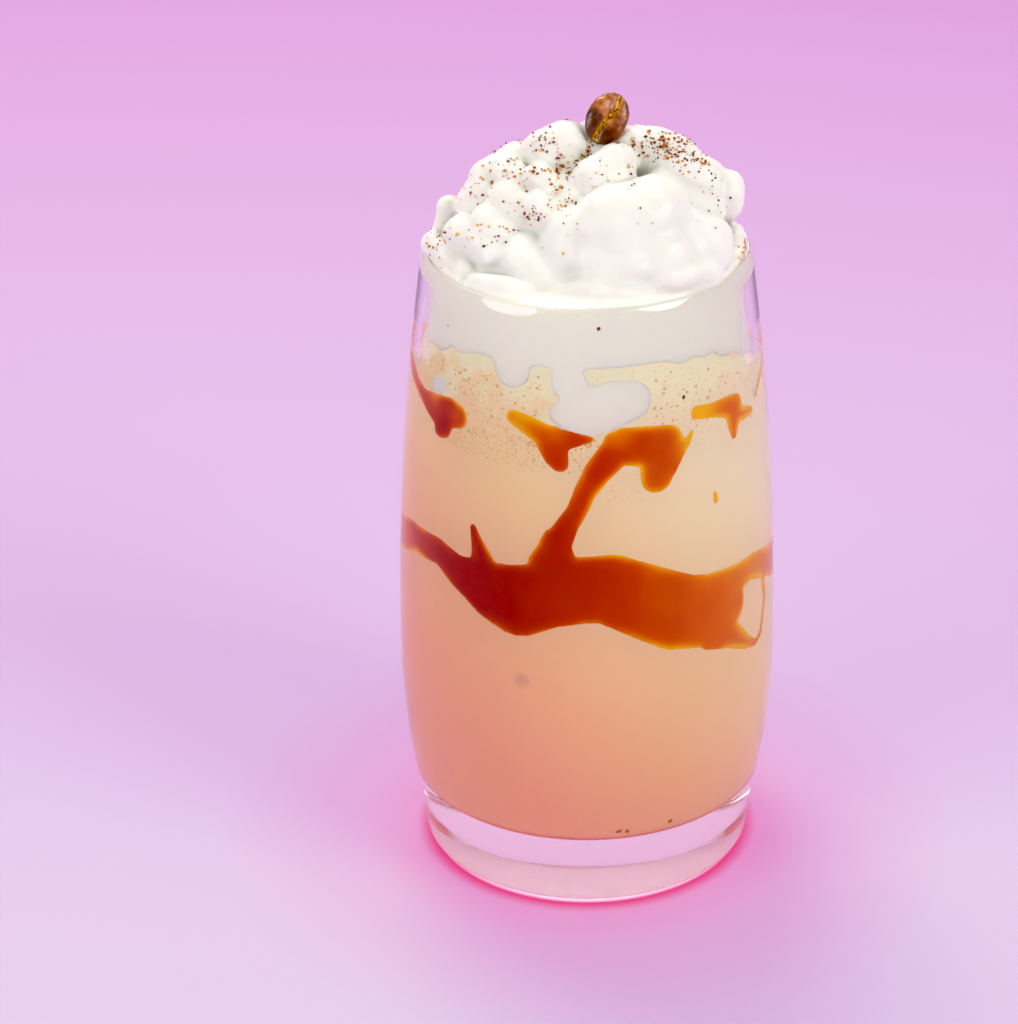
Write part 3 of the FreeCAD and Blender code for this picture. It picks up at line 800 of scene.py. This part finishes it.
def beanMaterial():
    material, shader = newMaterial("roastedBean", 0.38, 1.5)
    place = objectPlace(material)
    crease = addNode(material, "Attribute", attribute_name="crease").outputs["Fac"]
    # painted shade: the lower end of the bean is mixed towards near-black
    tip = addNode(material, "Attribute", attribute_name="tip").outputs["Fac"]
    skin = addRamp(material, addNoise(material, place, 420, 4, 0.6), beanMake["skin"])
    skin = mixColour(material, tip, skin, beanMake["tip"])
    chaff = addRamp(material, addNoise(material, place, 1500, 3), beanMake["chaff"])
    plug(material, mixColour(material, crease, skin, chaff), shader, "Base Color")
    shader.inputs["Coat Weight"].default_value = 0.25
    shader.inputs["Coat Roughness"].default_value = 0.3
    addBump(material, shader, addNoise(material, place, 900, 5), 0.35, 0.2 * mm)
    return material


def makeBean():
    make = beanMake
    mesh = bmesh.new()
    bmesh.ops.create_icosphere(mesh, subdivisions=6, radius=1)
    layer = mesh.verts.layers.float.new("crease")
    dark = mesh.verts.layers.float.new("tip")
    low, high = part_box("coffee_bean")
    recline = Matrix.Rotation(math.radians(-make["recline"]), 4, "X")
    turn = Matrix.Rotation(math.radians(make["lean"]), 4, "Y") @ recline
    for vert in mesh.verts:
        ball = vert.co.copy()
        away = (ball.x * make["width"] / 2 - creaseLine(ball.z)) / (1.1 * make["creaseWidth"])
        vert[layer] = math.exp(-away ** 2) if ball.y < 0 and abs(ball.z) < 0.93 else 0
        # painted shade: darker towards the bean's lower end and its left side
        vert[dark] = 0.85 * min(1, max(0, (-0.08 - ball.z - 0.3 * ball.x) / 0.3))
        vert.co = beanShape(ball) * mm
    bmesh.ops.transform(mesh, matrix=Matrix.Translation((low + high) / 2) @ turn, verts=mesh.verts)
    bmesh.ops.recalc_face_normals(mesh, faces=mesh.faces)
    addPiece("bean", mesh, beanMaterial(), "coffee_bean")


makeBean()

# ground spice on the cream

spiceMake = {
    "seed": 5, "smallest": 0.22 * mm, "largest": 0.72 * mm, "slant": 25, "fromAbove": 260, "aboveReach": 29 * mm,
    "colours": [(0.15, (0.10, 0.010, 0.004)), (0.55, (0.28, 0.035, 0.008)), (0.85, (0.50, 0.13, 0.015)),
                (1.0, (0.72, 0.32, 0.03))],
}
# dustings: across and up the front of the heap in mm, spread both ways, count
spiceDustings = [
    (15.5, 18.4, 3.6, 1.9, 150), (20.5, 15.6, 2.2, 1.6, 50), (-8.5, 19, 2.2, 1.8, 34), (-14.5, 14.6, 3.4, 2.0, 46),
    (-5.4, 15.4, 0.5, 1.8, 18), (-8.8, 13.4, 2.6, 0.5, 16), (-11, 5, 1.8, 1.2, 26), (-5.3, 6.4, 2.4, 2.4, 30),
    (-21, 9.6, 2.4, 3.6, 30), (-19, 0.5, 4.2, 1.6, 26), (-29, 0.2, 2.0, 2.4, 34), (4.8, 13.6, 4.4, 3.0, 22),
    (24.8, 9.4, 1.6, 4.0, 22), (31, -1, 1.0, 2.2, 14), (9.2, 18.6, 1.6, 1.2, 20), (12, 4, 14, 8, 16),
]
# lines of grains: from and to, count, spread
spiceLines = [((1.2, 19.2), (-6.4, 8.6), 60, 0.45), ((-4, 15.5), (-7.2, 10.5), 14, 0.3)]
# grains against the wall: azimuth, height in mm, how much larger and how light
spiceStray = [
    (4, 128.4, 2, 0.3), (-54, 123.5, 1.6, 0.1), (10.5, 18, 2, 0.75), (13.5, 17.8, 2.2, 0.75),
    (28.5, 18.2, 2.4, 0.75), (33, 112.5, 1.5, 0.1),
]


def spicePlaces(rng):
    # where each grain is shaken from, across and up the front of the heap
    for across, up, wide, tall, count in spiceDustings:
        for _ in range(count):
            yield rng.gauss(across, wide * 0.85), rng.gauss(up, tall * 0.85)
    for start, end, count, spreadOut in spiceLines:
        for _ in range(count):
            part = rng.random()
            yield (start[0] + (end[0] - start[0]) * part + rng.gauss(0, spreadOut),
                   start[1] + (end[1] - start[1]) * part + rng.gauss(0, spreadOut))


def addGrain(mesh, layer, rng, place, normal, grown=1, tint=None):
    smallest, largest = spiceMake["smallest"], spiceMake["largest"]
    radius = grown * (smallest + (largest - smallest) * rng.random() ** 2) / 2
    turn = Matrix.Rotation(rng.uniform(0, math.tau), 4, Vector((rng.random(), rng.random(), 0.5)).normalized())
    stretch = Matrix.Diagonal((rng.uniform(0.8, 1.5), rng.uniform(0.7, 1.1), rng.uniform(0.6, 1.0), 1))
    matrix = Matrix.Translation(place + normal * radius * 0.35) @ turn @ stretch
    tint = rng.random() if tint is None else tint
    for vert in bmesh.ops.create_icosphere(mesh, subdivisions=1, radius=radius, matrix=matrix)["verts"]:
        vert[layer] = tint


def spiceMaterial():
    material, shader = newMaterial("groundSpice", 0.6)
    tint = addNode(material, "Attribute", attribute_name="tint").outputs["Fac"]
    speck = addNoise(material, objectPlace(material), 3000, 2)
    mixed = doMath(material, "MULTIPLY_ADD", speck, 0.3, tint)
    plug(material, addRamp(material, mixed, spiceMake["colours"]), shader, "Base Color")
    return material


def makeSpice():
    rng = random.Random(spiceMake["seed"])
    mesh = bmesh.new()
    layer = mesh.verts.layers.float.new("tint")
    slant = math.radians(spiceMake["slant"])
    down = Vector((0, math.cos(slant), -math.sin(slant)))
    rise = Vector((0, math.sin(slant), math.cos(slant)))
    for across, up in spicePlaces(rng):
        start = Vector((across * mm, 0, glassTop)) + rise * up * mm - down * 0.1
        place, normal, _, _ = creamSkin.ray_cast(start, down)
        if place and place.z > glassTop - 1 * mm:
            addGrain(mesh, layer, rng, place, normal)
    for azimuth, height, grown, tint in spiceStray:
        place = onWall(azimuth, height * mm, 0.12 * mm)
        addGrain(mesh, layer, rng, place, -place.xy.to_3d().normalized(), grown, tint)
    for _ in range(spiceMake["fromAbove"]):
        reach, angle = spiceMake["aboveReach"] * math.sqrt(rng.random()), rng.uniform(0, math.pi)
        start = Vector((reach * math.cos(angle), reach * math.sin(angle), glassTop + 0.1))
        place, normal, _, _ = creamSkin.ray_cast(start, Vector((0, 0, -1)))
        if place and normal.z > 0.35:
            addGrain(mesh, layer, rng, place, normal)
    addPiece("spice", mesh, spiceMaterial())


makeSpice()

# end

print("scene built")
